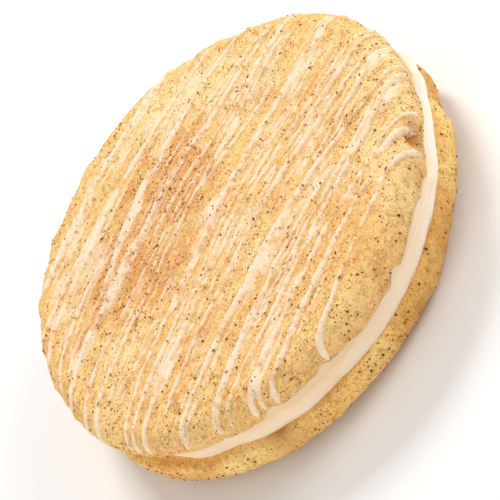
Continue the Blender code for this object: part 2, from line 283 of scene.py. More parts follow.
def unit(vectors):
    """Vectors scaled to length one."""
    return vectors / np.maximum(np.linalg.norm(vectors, axis=-1, keepdims=True), 1e-9)


def smooth_step(value):
    """0 below 0, 1 above 1, and a smooth rise between."""
    value = np.clip(value, 0.0, 1.0)
    return value * value * (3.0 - 2.0 * value)


def lattice_noise(x, y, size, seed):
    """Smooth random relief from -1 to 1: random heights on a square lattice, blended by a smooth step."""
    table = np.random.default_rng(seed).uniform(-1.0, 1.0, (97, 97))
    column, row = np.floor(x / size).astype(int), np.floor(y / size).astype(int)
    across, up = smooth_step(x / size - column), smooth_step(y / size - row)
    left, right, low, high = column % 97, (column + 1) % 97, row % 97, (row + 1) % 97
    near = table[left, low] * (1 - across) + table[right, low] * across
    far = table[left, high] * (1 - across) + table[right, high] * across
    return near * (1 - up) + far * up


def outline(turn, waves, lumps):
    """How far an outline stands out of a circle at an angle in radians: waves and single lumps."""
    out = 0.0 * turn
    for count, height, phase in waves:
        out = out + height * np.cos(count * turn + math.radians(phase))
    for at, height, width in lumps:
        away = np.angle(np.exp(1j * (turn - math.radians(at))))
        out = out + height * np.exp(-((away / math.radians(width)) ** 2))
    return out


def swell(x, y):
    """The slow rise and fall of a crust at a place in plan, as a sum of straight waves."""
    total = 0.0
    for length, direction, height, phase in CRUST_SWELLS:
        along = x * math.cos(math.radians(direction)) + y * math.sin(math.radians(direction))
        total = total + height * np.sin(2 * math.pi * along / length + math.radians(phase))
    return total


def side_profile(run, side):
    """(radius, height) at a run along a biscuit's outer face, from its centre over the dome, a parabola,
    round the shoulder, an arc, down the wall and round the heel, an arc too."""
    flat = BISCUIT_RADIUS - SHOULDER_ROUND
    shoulder_end = flat + SHOULDER_ROUND * math.pi / 2
    wall_end = shoulder_end + side - SHOULDER_ROUND - HEEL_ROUND
    shoulder = (run - flat) / SHOULDER_ROUND
    heel = (run - wall_end) / HEEL_ROUND
    parts = [run <= flat, run <= shoulder_end, run <= wall_end]
    radii = [run, flat + SHOULDER_ROUND * np.sin(shoulder), BISCUIT_RADIUS + 0 * run]
    heights = [
        side + CROWN * (1 - (run / flat) ** 2),
        side - SHOULDER_ROUND * (1 - np.cos(shoulder)),
        HEEL_ROUND + wall_end - run,
    ]
    radius = np.select(parts, radii, BISCUIT_RADIUS - HEEL_ROUND * (1 - np.cos(heel)))
    return radius, np.select(parts, heights, HEEL_ROUND * (1 - np.sin(heel)))


def side_radius(height):
    """The radius of the upper biscuit at a height over its underside: the arcs of heel and shoulder."""
    below = np.clip(HEEL_ROUND - height, 0, HEEL_ROUND)
    heel = BISCUIT_RADIUS - HEEL_ROUND + np.sqrt(HEEL_ROUND**2 - below**2)
    above = np.clip(height - UPPER_SIDE + SHOULDER_ROUND, 0, SHOULDER_ROUND)
    return heel - SHOULDER_ROUND + np.sqrt(SHOULDER_ROUND**2 - above**2)


def whole_run(side):
    """The length of a biscuit's outer face, from its centre to the end of its heel."""
    wall = side - SHOULDER_ROUND - HEEL_ROUND
    return BISCUIT_RADIUS - SHOULDER_ROUND + wall + (SHOULDER_ROUND + HEEL_ROUND) * math.pi / 2


def rim_hollow(run, turn, hollow):
    """How deep a round hollow in the rim is at a run and an angle."""
    around = np.angle(np.exp(1j * (turn - math.radians(hollow["turn"])))) * BISCUIT_RADIUS
    away = (around / hollow["reach"]) ** 2 + ((run - hollow["run"]) / hollow["rise"]) ** 2
    return hollow["depth"] * np.exp(-away)


def upper_form(u, v):
    """The upper biscuit's outer face without its fine relief: the side profile carried round the uneven
    outline, swelling gently, with the hollow and the pit in the rim."""
    run, turn = np.hypot(u, v), np.arctan2(v, u)
    radius, height = side_profile(run, UPPER_SIDE)
    level = np.clip(height / UPPER_SIDE, 0, 1)
    out = outline(turn, UPPER_OUTLINE_WAVES, UPPER_LUMPS) * (radius / BISCUIT_RADIUS) ** 3
    radius = radius + out - rim_hollow(run, turn, RIM_HOLLOW) - rim_hollow(run, turn, PIT)
    x, y = radius * np.cos(turn), radius * np.sin(turn)
    return np.stack([x, y, UPPER_BASE + height + swell(x, y) * level**2], -1)


def lower_form(u, v):
    """The lower biscuit's outer face, which is upside down, with the flat spot that it lies on."""
    run, turn = np.hypot(u, v), np.arctan2(v, u)
    radius, height = side_profile(run, LOWER_SIDE)
    radius = radius + outline(turn, LOWER_OUTLINE_WAVES, LOWER_LUMPS) * (radius / BISCUIT_RADIUS) ** 3
    x, y = radius * np.cos(turn), radius * np.sin(turn)
    swelling = smooth_step(height / HEEL_ROUND - 1) * smooth_step((run - REST_RADIUS) / REST_FADE)
    depth = height + swell(y, x) * swelling
    settled = smooth_step((REST_RADIUS + REST_FADE - run) / REST_FADE)
    depth = np.minimum(depth * (1 - settled) + (LOWER_SIDE + CROWN) * settled, LOWER_SIDE + CROWN)
    return np.stack([x + LOWER_SHIFT[0], y + LOWER_SHIFT[1], LOWER_TOP - depth], -1)


def outward(form, u, v):
    """A form's places and outward unit normals at places in plan, from small steps each way."""
    step = 0.05
    here = form(u, v)
    normal = unit(np.cross(form(u + step, v) - here, form(u, v + step) - here))
    return here, normal if form is upper_form else -normal


def crust_relief(u, v, seed):
    """The crumb of a crust: smooth noises of falling size, less small pits where another is high."""
    relief = 0
    for k, (size, height) in enumerate(CRUST_BUMPS):
        relief = relief + height * lattice_noise(u + 7.3 * k, v - 4.1 * k, size, seed + k)
    pits = smooth_step((lattice_noise(u, v, 1.3, seed + 20) - 0.45) / 0.4)
    return relief - CRUMB_PIT_DEPTH * pits


def pass_route(left, middle, right, start, end, seed):
    """The route of one pass of icing in plan, in even steps: the parabola through its three heights,
    swaying a little, sagging at its −X end, and leaning towards straight down past the shoulder."""
    slope = (right - left) / (2 * LINES_APART)
    bend = (right + left - 2 * middle) / (2 * LINES_APART**2)
    x = np.arange(start, end, ROUTE_STEP)
    y = middle + slope * x + bend * x**2 - SAG * np.clip(SAG_LINE - x, 0, None) ** 2
    for k, (size, row, reach) in enumerate(SWAYS):
        y = y + reach * lattice_noise(x, 0 * x + row, size, seed + k)
    route = np.stack([x, y], -1)
    route = route[np.hypot(x, y) < TURN_RUN]
    before = over_edge(route[0], route[0] - route[2])[::-1]
    after = over_edge(route[-1], route[-1] - route[-3])
    return np.concatenate([before, route, after])


def over_edge(point, heading):
    """The rest of a pass beyond the shoulder, curving straight down: nothing if it stopped on top."""
    run = math.hypot(*point)
    if run < TURN_RUN - 1:
        return np.empty((0, 2))
    down = point / run
    course = heading / math.hypot(*heading)
    steps = np.arange(ROUTE_STEP, (LAST_RUN - run) / SLOWEST_DOWN, ROUTE_STEP)
    share = smooth_step(steps / TURN_LENGTH)[:, None] * TURN_SHARE + TURN_FIRST
    moves = unit(share * down + (1 - share) * course) * ROUTE_STEP
    route = point + np.cumsum(moves, 0)
    return route[np.hypot(*route.T) < LAST_RUN]


def companion_rows(rng):
    """Thinner passes beside the passes, on each side for part of the way, as icing falls from several
    holes at once."""
    for left, middle, right, start, end, _, _ in DRIZZLE:
        for side in (-1, 1):
            aside = side * rng.uniform(*COMPANION_GAP)
            first, last = np.sort(rng.uniform(start, end, 2))
            if last - first > COMPANION_SHORTEST and abs(middle + aside) < COMPANION_LAST:
                lines = (left + 1.1 * aside, middle + aside, right + 0.9 * aside)
                yield *lines, first, last, rng.uniform(*COMPANION_WIDTHS), first


def fine_rows(rng):
    """The finest threads, drawn at random inside a circle, with the slant of the passes."""
    for _ in range(FINE_THREADS):
        middle = rng.uniform(*FINE_MIDDLES)
        reach = math.sqrt(FINE_CIRCLE**2 - middle**2)
        start = rng.uniform(-reach, reach - FINE_LATEST)
        end = min(start + rng.uniform(*FINE_LENGTHS), reach)
        lines = (middle - FINE_LEFT, middle, middle + FINE_RIGHT)
        yield *lines, start, end, rng.uniform(*FINE_WIDTHS), (start + end) / 2


def drizzle_passes():
    """Every pass and thread of the icing: (route, half width at each point, how thick it lies)."""
    rng = np.random.default_rng(41)
    rows = [(row, THICKNESS["pass"]) for row in DRIZZLE]
    rows += [(row, THICKNESS["thread"]) for row in THREADS]
    rows += [(row, THICKNESS["companion"]) for row in companion_rows(rng)]
    rows += [(row, THICKNESS["fine"]) for row in fine_rows(rng)]
    for number, (row, thick) in enumerate(rows):
        *course, width, fullest = row
        route = pass_route(*course, 300 + 2 * number)
        x = route[:, 0]
        full = THIN_SHARE + (1 - THIN_SHARE) * np.exp(-(((x - fullest) / FULL_REACH) ** 2))
        uneven = 1 + WIDTH_UNEVEN * lattice_noise(x, 0 * x, WIDTH_WAVE, 700 + number)
        length = np.arange(len(route)) * ROUTE_STEP
        first_end = smooth_step(length / TAPER + TAPER_FIRST)
        last_end = smooth_step((length[-1] - length) / TAPER + TAPER_FIRST)
        ends = first_end * last_end
        half = 0.5 * width * full * uneven * ends
        yield route, half, thick * (END_THICKNESS + (1 - END_THICKNESS) * ends)


def lay_part(u, v, blur, part, half, thickness, cover, soak, height):
    """Lays one short part of a pass into the arrays of icing_over, at the points near it alone."""
    low, high = part.min(0) - 2.5, part.max(0) + 2.5
    near = np.flatnonzero((u > low[0]) & (u < high[0]) & (v > low[1]) & (v < high[1]))
    away = np.hypot(u[near, None] - part[:, 0], v[near, None] - part[:, 1])
    closest = away.argmin(1)
    distance = away[np.arange(len(near)), closest]
    width, thick = half[closest], thickness[closest]
    share = distance / np.maximum(width, 0.05)
    ridge = np.sqrt(np.clip(1 - share**2, 0, 1)) * ICING_HEIGHT * np.sqrt(2 * width) * thick
    inside = smooth_step((width - distance) / ICING_EDGE + 0.5 * blur[near]) * (0.4 + 0.6 * thick)
    past = smooth_step((width + SOAK_REACH - distance) / SOAK_REACH) * thick
    height[near] = np.maximum(height[near], ridge)
    cover[near] = np.maximum(cover[near], inside)
    soak[near] = np.maximum(soak[near], past)


def smears_over(u, v, film):
    """How thickly the icing is smeared between its passes: long slanted patches, and none at the rim."""
    patches = 1.9 * lattice_noise(u / SMEAR_STRETCH, v - SMEAR_SLANT * u, 2.3, 98) - 0.25 + film
    inside = SMEAR_SHARE * smooth_step((v + 34) / 7) * smooth_step((TURN_RUN - np.hypot(u, v)) / 4)
    return smooth_step(patches) * inside


def icing_over(plan_u, plan_v):
    """(cover, soak, height) of the icing at places in plan. Across a pass, its height is a low rounded
    ridge, and its cover, from 0 to 1, is full inside and frays at the edge. soak is the same, reaching a
    little past it. Passes that cross or touch take the higher of the two."""
    u, v = plan_u.ravel(), plan_v.ravel()
    cover, soak, height = np.zeros(u.size), np.zeros(u.size), np.zeros(u.size)
    blur = 1 + 0.5 * lattice_noise(u, v, 1.1, 90) + 0.5 * lattice_noise(u, v, 0.6, 91)
    for route, half, thickness in drizzle_passes():
        for start in range(0, len(route), 24):
            part = slice(start, start + 25)
            lay_part(u, v, blur, route[part], half[part], thickness[part], cover, soak, height)
    for at_u, at_v, long, wide, thick in POOLS:
        along = (u - at_u) + POOL_TILT * (v - at_v)
        across = (v - at_v) - POOL_TILT * (u - at_u)
        share = (along / long) ** 2 + (across / wide) ** 2 + 0.35 * lattice_noise(u, v, 1.7, 95)
        height = np.maximum(height, POOL_HEIGHT * thick * smooth_step(1.25 - share))
        cover = np.maximum(cover, thick * smooth_step(1.5 - share))
    film = patches_over(u, v, FILM_PATCHES)
    cover = np.maximum(cover, smears_over(u, v, film))
    kept = ICING_KEPT
    for k, (size, depth) in enumerate(ICING_WEAR):
        kept = kept + depth * lattice_noise(u, v, size, 96 + k)
    cover = cover * np.clip(kept + 0.5 * film, 0.2, 1)
    return [numbers.reshape(plan_u.shape) for numbers in (cover, soak, height)]


def upper_skin(u, v):
    """(place, normal, cover, soak) on the finished upper crust: the form, lifted along its normal by
    icing and the crumb that it fills."""
    here, normal = outward(upper_form, u, v)
    cover, soak, height = icing_over(u, v)
    wall = smooth_step((np.hypot(u, v) - BISCUIT_RADIUS + SHOULDER_ROUND) / SHOULDER_ROUND)
    lift = crust_relief(u, v, 11) * (1 - ICING_FILL * cover) * (1 + WALL_RELIEF * wall) + height
    lift = lift - patches_over(u, v, DIMPLES)
    return here + normal * lift[..., None], normal, cover, soak


def lower_skin(u, v):
    """(place, normal) on the finished lower crust. The flat spot that it lies on stays flat."""
    here, normal = outward(lower_form, u, v)
    off_floor = smooth_step((here[..., 2] - 0.1) / 0.8)
    lift = crust_relief(u, v, 51) * (1 + WALL_RELIEF) * off_floor
    return here + normal * lift[..., None], normal


def plan_grid(count, run):
    """The places in plan of a square grid bent into a disc: each square ring becomes a circle, evenly
    divided, the outermost one at the run."""
    line = np.linspace(-1, 1, count)
    a, b = np.meshgrid(line, line)
    sideways = np.abs(a) >= np.abs(b)
    reach = np.where(sideways, a, b)
    slant = np.divide(np.where(sideways, b, a), reach, out=np.zeros_like(a), where=reach != 0)
    angle = np.where(sideways, slant * math.pi / 4, math.pi / 2 - slant * math.pi / 4)
    return reach * run * np.cos(angle), reach * run * np.sin(angle)


def add_object(name, data):
    """A new object, put in the scene."""
    thing = bpy.data.objects.new(name, data)
    bpy.context.scene.collection.objects.link(thing)
    return thing


def mesh_piece(name, points, faces, material, node=None, values=None):
    """A piece of the cookie from points in millimetres, riding on its body. values are numbers for each
    point, by name, which the material reads."""
    mesh = bpy.data.meshes.new(name)
    places = (np.asarray(points, float) + (*PLACE, 0.0)) * METRES
    mesh.from_pydata(places.tolist(), [], faces)
    for key, numbers in (values or {}).items():
        attribute = mesh.attributes.new(key, "FLOAT", "POINT")
        attribute.data.foreach_set("value", np.asarray(numbers, np.float32))
    mesh.shade_smooth()
    mesh.materials.append(material)
    mesh.update()
    piece = add_object(name, mesh)
    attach(piece, BODY)
    if node:
        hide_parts(node)


def shell(face_points, base_height, upside_down):
    """Points and faces of a closed biscuit: its outer face on a square grid, and a flat side drawn in to
    its middle in rings from the grid's border."""
    count = face_points.shape[0]
    index = np.arange(count * count).reshape(count, count)
    quads = np.stack([index[:-1, :-1], index[:-1, 1:], index[1:, 1:], index[1:, :-1]], -1).reshape(-1, 4)
    border = np.concatenate([index[0, :-1], index[:-1, -1], index[-1, :0:-1], index[:0:-1, 0]])
    points = [face_points.reshape(-1, 3)]
    rim = points[0][border]
    middle = rim.mean(0)
    loops = [border]
    made = count * count
    for share in (0.97, 0.75, 0.4):
        ring = middle + (rim - middle) * share
        ring[:, 2] = base_height
        points.append(ring)
        loops.append(np.arange(made, made + len(border)))
        made += len(border)
    points.append([[middle[0], middle[1], base_height]])
    for outer, inner in zip(loops, loops[1:]):
        ring_quads = np.stack([outer, inner, np.roll(inner, -1), np.roll(outer, -1)], -1)
        quads = np.concatenate([quads, ring_quads])
    fan = np.stack([loops[-1], np.full(len(border), made), np.roll(loops[-1], -1)], -1)
    if upside_down:
        quads, fan = quads[:, ::-1], fan[:, ::-1]
    return np.concatenate(points), quads.tolist() + fan.tolist()


def patches_over(u, v, patches):
    """The sum of soft round patches at places in plan: (u, v, reach, strength) each."""
    total = 0
    for at_u, at_v, reach, strength in patches:
        total = total + strength * np.exp(-((u - at_u) ** 2 + (v - at_v) ** 2) / reach**2)
    return total


def dust_and_pit_shade_over(u, v):
    """How much spice dust lies at places in plan: soft patches broken by noise, streaks, and painted shade
    in the pit.
    """
    dust_and_shade = patches_over(u, v, DUST_PATCHES)
    broken = 0.75 + 0.45 * lattice_noise(u, v, 5.0, 61) + 0.3 * lattice_noise(u, v, 2.1, 62)
    streaks = smooth_step(2.2 * lattice_noise(u / 3.2, v - 0.2 * u, 1.5, 65) - 0.6)
    smudges = smooth_step(4.0 * lattice_noise(u, v, 1.3, 66) - 2.3)
    # Painted shade: the pit is darkened with the dust colour.
    pit_shade = rim_hollow(np.hypot(u, v), np.arctan2(v, u), PIT)
    slow = 0.12 * lattice_noise(u, v, 8.0, 63)
    return np.clip(dust_and_shade * broken + 0.45 * streaks + 0.7 * smudges + slow + 0.8 * pit_shade, 0, 1)


def comb_over(u, v):
    """How strongly the icing is combed into fine streaks: in broad patches, and not at the rim."""
    broad = smooth_step(0.75 + 1.1 * lattice_noise(u, v, 9.0, 68) + 0.5 * lattice_noise(u, v, 3.0, 69))
    return broad * smooth_step((TURN_RUN - np.hypot(u, v)) / 5) * smooth_step((v + 36) / 8)


def brown_and_shade_over(u, v, low, patches):
    """How brown the crust is at each point: browner low on the wall, and in patches, some of them painted
    shade.
    """
    uneven = 1 + 0.4 * lattice_noise(u, v, 3.0, 67)
    return np.clip((WALL_FOOT_BROWN * smooth_step(low) + patches_over(u, v, patches)) * uneven, 0, 1.7)


def shade_over(u, v, size, seed, patches):
    """0 where the crust is pale and 1 where it is golden: slow noise, less in the pale patches, one of
    which is painted light.
    """
    return np.clip(0.5 + 0.6 * lattice_noise(u, v, size, seed) - patches_over(u, v, patches), -0.4, 1)


def crust_piece(name, place, base_height, node, material, values):
    """A crust from its grid and its numbers there, which are 0 on the flat side."""
    points, faces = shell(place, base_height, node == "lower_biscuit")
    for key, numbers in values.items():
        values[key] = np.pad(numbers.ravel(), (0, len(points) - numbers.size))
    mesh_piece(name, points, faces, material, node, values)


def make_upper_crust(material):
    """The upper biscuit with its icing."""
    u, v = plan_grid(UPPER_GRID, whole_run(UPPER_SIDE))
    place, _, cover, soak = upper_skin(u, v)
    dust_and_shade = dust_and_pit_shade_over(u, v)
    values = {
        "icing": cover * (1 - DUST_HIDES * dust_and_shade),
        "soak": soak,
        # The dust values also hold painted shade in the rim's pit.
        "dust_and_shade": dust_and_shade,
        "comb": comb_over(u, v),
        # The browner values also hold painted shade in the pit.
        "brown_and_shade": brown_and_shade_over(u, v, (UPPER_BASE + UPPER_BROWN_HEIGHT - place[..., 2]) / UPPER_BROWN_HEIGHT, UPPER_BROWN_AND_SHADE),
        "shade": shade_over(u, v, 14.0, 71, UPPER_PALE),
    }
    crust_piece("upper_crust", place, UPPER_BASE, "upper_biscuit", material, values)


def make_lower_crust(material):
    """The lower biscuit, domed side down."""
    u, v = plan_grid(LOWER_GRID, whole_run(LOWER_SIDE))
    place, _ = lower_skin(u, v)
    values = {
        **dict.fromkeys(("icing", "soak", "comb"), np.zeros(u.shape)),
        # The browner values also hold painted shade on the near side.
        "brown_and_shade": brown_and_shade_over(u, v, (LOWER_BROWN_HEIGHT - place[..., 2]) / LOWER_BROWN_HEIGHT, LOWER_BROWN_AND_SHADE),
        "dust_and_shade": np.clip(0.15 + 0.5 * lattice_noise(u, v, 5.0, 64), 0, 1),
        # The paler values also hold painted light at the near left.
        "shade": shade_over(u, v, 11.0, 72, LOWER_PALE_AND_LIT),
    }
    crust_piece("lower_crust", place, LOWER_TOP, "lower_biscuit", material, values)


def cream_climb(turn, x, y):
    """How high the cream climbs over the upper biscuit's heel at an angle."""
    return outline(turn, (), CREAM_CLIMBS) + CLIMB_UNEVEN * lattice_noise(x, y, 3.0, 83)


def cream_radius(turn, share, climb, height, x, y):
    """How far out the cream's face is: a bulge on its uneven edge, smeared in low ripples. Where it
    climbs, it is pressed outwards until it clears the upper crust."""
    edge = CREAM_RADIUS + outline(turn, CREAM_WAVES, CREAM_LUMPS)
    bulge = CREAM_BULGE * (1 - np.abs(2 * share - 1) ** 2.4)
    (long, deep), (short, shallow) = CREAM_RIPPLES
    ripple = deep * lattice_noise(x + 3 * share, y, long, 81)
    ripple = ripple + shallow * lattice_noise(x, y + 4 * share, short, 82)
    radius = edge - CREAM_BULGE + bulge + ripple
    over = CREAM_OVER + outline(turn, UPPER_OUTLINE_WAVES, UPPER_LUMPS)
    press = smooth_step(climb / 0.5) * smooth_step((share - 0.35) / 0.35)
    radius = radius * (1 - press) + np.maximum(radius, over + side_radius(0.4)) * press
    above = height > UPPER_BASE
    radius = np.where(above, np.maximum(radius, (over + side_radius(height - UPPER_BASE)) * press), radius)
    radius[-1] -= CREAM_TOP_IN
    return radius


def cream_warmth_and_shade(turn, share, climb, x, y):
    """How warm the cream's colour is: painted shade, warmer towards its top under the upper biscuit and
    round the near left where it is set in; tone at random; and a stain where it has climbed.
    """
    stained = 0.2 + 0.55 * smooth_step((-turn - 1.55) / 0.3)
    stain = stained * smooth_step(climb - 0.7) * smooth_step((share - 0.5) / 0.4)
    # Painted shade where the cream is set in, round the near left.
    shade_near_left = 0.5 * smooth_step((-turn - 0.5) / 1.2)
    # Painted shade: the share term warms the cream towards its top, under the upper biscuit.
    return np.clip(0.08 + 0.35 * share**2 + shade_near_left + 0.12 * lattice_noise(x, y, 5.0, 84) + stain, 0, 1)


def make_cream(material):
    """The cream: a profile carried round its edge, reaching just into both biscuits, and closed flat above
    and below."""
    share = np.linspace(0, 1, CREAM_STEPS)[:, None]
    turn = (np.arange(CREAM_TURNS) * 2 * math.pi / CREAM_TURNS - math.pi)[None, :]
    x, y = np.cos(turn) * BISCUIT_RADIUS, np.sin(turn) * BISCUIT_RADIUS
    climb = cream_climb(turn, x, y)
    rise = UPPER_BASE - LOWER_TOP + CREAM_INTO_BOTH + np.clip(climb, 0, None)
    height = LOWER_TOP - CREAM_INTO_LOWER + share * rise
    radius = cream_radius(turn, share, climb, height, x, y)
    warmth_and_shade = cream_warmth_and_shade(turn, share, climb, x, y)
    points = np.stack([radius * np.cos(turn), radius * np.sin(turn), height], -1).reshape(-1, 3)
    index = np.arange(CREAM_STEPS * CREAM_TURNS).reshape(CREAM_STEPS, CREAM_TURNS)
    after = np.roll(index, -1, 1)
    quads = np.stack([index[:-1], after[:-1], after[1:], index[1:]], -1).reshape(-1, 4)
    low, high = len(points), len(points) + 1
    points = np.concatenate([points, [[0, 0, height[0, 0]], [0, 0, height[-1, 0]]]])
    bottom = np.stack([after[0], index[0], np.full(CREAM_TURNS, low)], -1)
    top = np.stack([index[-1], after[-1], np.full(CREAM_TURNS, high)], -1)
    faces = quads.tolist() + bottom.tolist() + top.tolist()
    values = {"warmth_and_shade": np.append(warmth_and_shade.ravel(), [0.5, 0.5])}
    mesh_piece("cream", points, faces, material, "cream_filling", values)


def icosahedron():
    """The 12 points, at distance one, and 20 faces of an icosahedron."""
    golden = (1 + math.sqrt(5)) / 2
    points = []
    for a in (-1, 1):
        for b in (-golden, golden):
            points += [(0, a, b), (a, b, 0), (b, 0, a)]
    points = unit(np.array(points, float))
    gaps = np.linalg.norm(points[:, None] - points[None], axis=-1)
    touching = (gaps > 0.1) & (gaps < 1.2)
    faces = []
    for i, j, k in combinations(range(12), 3):
        if touching[i, j] and touching[j, k] and touching[i, k]:
            facing = np.dot(np.cross(points[j] - points[i], points[k] - points[i]), points[i]) > 0
            faces.append((i, j, k) if facing else (i, k, j))
    return points, np.array(faces)


def octahedron():
    """The 6 points, at distance one, and 8 faces of an octahedron."""
    points = np.concatenate([np.eye(3), -np.eye(3)])
    faces = [(a, b, c) for a in (0, 3) for b in (1, 4) for c in (2, 5)]
    turned = [(0, 2, 1) if sum(corner > 2 for corner in face) % 2 else (0, 1, 2) for face in faces]
    return points, np.array([[face[k] for k in order] for face, order in zip(faces, turned)])


def scattered_grains(place, normal, size, flatness, seed, form):
    """Points and faces of many uneven grains, one at each place, sunk by half its height: a form with its
    points pulled in and out, stretched, and turned at random about the normal."""
    rng = np.random.default_rng(seed)
    corners, faces = form
    count = len(place)
    pulled = corners * rng.uniform(0.7, 1.2, (count, len(corners), 1))
    long, wide = rng.uniform(0.8, 1.5, count), rng.uniform(0.7, 1.1, count)
    stretch = np.stack([long, wide, np.full(count, flatness)], -1)
    pulled = pulled * stretch[:, None] * size[:, None, None]
    side = unit(np.cross(normal, [0.3, 0.9, 0.2]))
    other = np.cross(normal, side)
    spin = rng.uniform(0, 2 * math.pi, count)[:, None]
    along = side * np.cos(spin) + other * np.sin(spin)
    across = np.cross(normal, along)
    axes = np.stack([along, across, normal], 1)
    points = place[:, None] + pulled @ axes
    faces = faces[None] + len(corners) * np.arange(count)[:, None, None]
    return points.reshape(-1, 3), faces.reshape(-1, 3).tolist()


def scatter_places(count, reach, seed, in_dust=False):
    """Random places in plan, out to a run, in clumps, and more of them in the dust."""
    rng = np.random.default_rng(seed)
    run = reach * np.sqrt(rng.uniform(0, 1, count * 4))
    turn = rng.uniform(0, 2 * math.pi, count * 4)
    u, v = run * np.cos(turn), run * np.sin(turn)
    clumps = 0.5 + 0.3 * lattice_noise(u, v, 4.0, seed + 1) + 0.3 * lattice_noise(u, v, 1.6, seed + 2)
    lean = 0.8 * dust_and_pit_shade_over(u, v) - 0.08 if in_dust else 0
    chance = 0.15 + np.clip(clumps, 0, 1) ** 2 + lean
    kept = np.flatnonzero(rng.uniform(0, 1.6, count * 4) < chance)[:count]
    return u[kept], v[kept]


def make_specks(material):
    """The dark spice specks on both crusts, some of them over the icing."""
    rng = np.random.default_rng(5)
    u, v = scatter_places(UPPER_SPECKS, whole_run(UPPER_SIDE) - 0.8, 21, True)
    place, normal, cover, _ = upper_skin(u, v)
    bare = rng.uniform(0, 1, len(cover)) > SPECKS_HIDDEN * cover
    place, normal = place[bare], normal[bare]
    low_u, low_v = scatter_places(LOWER_SPECKS, whole_run(LOWER_SIDE) - 0.8, 31)
    low_place, low_normal = lower_skin(low_u, low_v)
    off_floor = low_place[:, 2] > 0.5
    place = np.concatenate([place, low_place[off_floor]])
    normal = np.concatenate([normal, low_normal[off_floor]])
    size = np.clip(SPECK_SIZE * np.exp(SPECK_SPREAD * rng.standard_normal(len(place))), *SPECK_LIMITS)
    size[-off_floor.sum() :] *= LOWER_SPECK_SCALE
    points, faces = scattered_grains(place, normal, size, 0.6, 7, octahedron())
    tone = np.repeat(rng.uniform(0, 1, len(place)), 6)
    mesh_piece("spice_specks", points, faces, material, None, {"tone": tone})


def make_crumbs(material):
    """Loose crumb on the upper crust where it is bare of icing."""
    rng = np.random.default_rng(15)
    u, v = scatter_places(CRUMBS, whole_run(UPPER_SIDE) - 1.0, 121)
    place, normal, cover, _ = upper_skin(u, v)
    place, normal = place[cover < BARE_COVER], normal[cover < BARE_COVER]
    size = rng.uniform(*CRUMB_SIZES, len(place))
    points, faces = scattered_grains(place, normal, size, 0.45, 17, icosahedron())
    tone = np.repeat(rng.uniform(0, 1, len(place)), 12)
    mesh_piece("crumbs", points, faces, material, None, {"tone": tone})


def set_inputs(node, values):
    """Sets a node's plain values, by the names of its inputs."""
    for label, value in values.items():
        node.inputs[label].default_value = value


def noise_node(tree, source, scale, detail=3.0, roughness=0.55):
    """A noise texture on a vector, and its value."""
    node = tree.nodes.new("ShaderNodeTexNoise")
    set_inputs(node, {"Detail": detail, "Roughness": roughness, "Scale": scale})
    tree.links.new(source, node.inputs["Vector"])
    return node.outputs["Fac"]


def ramp_node(tree, source, low, high, to_low=0.0, to_high=1.0):
    """A value carried from one range to another, held at its ends."""
    node = tree.nodes.new("ShaderNodeMapRange")
    node.interpolation_type = "SMOOTHSTEP"
    tree.links.new(source, node.inputs["Value"])
    set_inputs(node, {"From Min": low, "From Max": high, "To Min": to_low, "To Max": to_high})
    return node.outputs["Result"]


def feed(tree, socket, value):
    """Gives a socket its value, which is another socket, a number or a colour of three numbers."""
    if isinstance(value, (int, float)):
        socket.default_value = value
    elif isinstance(value, tuple):
        socket.default_value = (*value, 1.0)
    else:
        tree.links.new(value, socket)


def math_node(tree, operation, first, second):
    """One sum of two values, each a socket or a number."""
    node = tree.nodes.new("ShaderNodeMath")
    node.operation = operation
    feed(tree, node.inputs[0], first)
    feed(tree, node.inputs[1], second)
    return node.outputs["Value"]


def scaled(tree, value, factor):
    """A value times a factor, each a socket or a number."""
    return math_node(tree, "MULTIPLY", value, factor)


def mixed_colour(tree, share, first, second):
    """Two colours, each a socket or three numbers, mixed by a share that is a socket or a number."""
    node = tree.nodes.new("ShaderNodeMix")
    node.data_type = "RGBA"
    sockets = {s.identifier: s for s in node.inputs}
    for key, value in (("Factor_Float", share), ("A_Color", first), ("B_Color", second)):
        feed(tree, sockets[key], value)
    return [s for s in node.outputs if s.identifier == "Result_Color"][0]


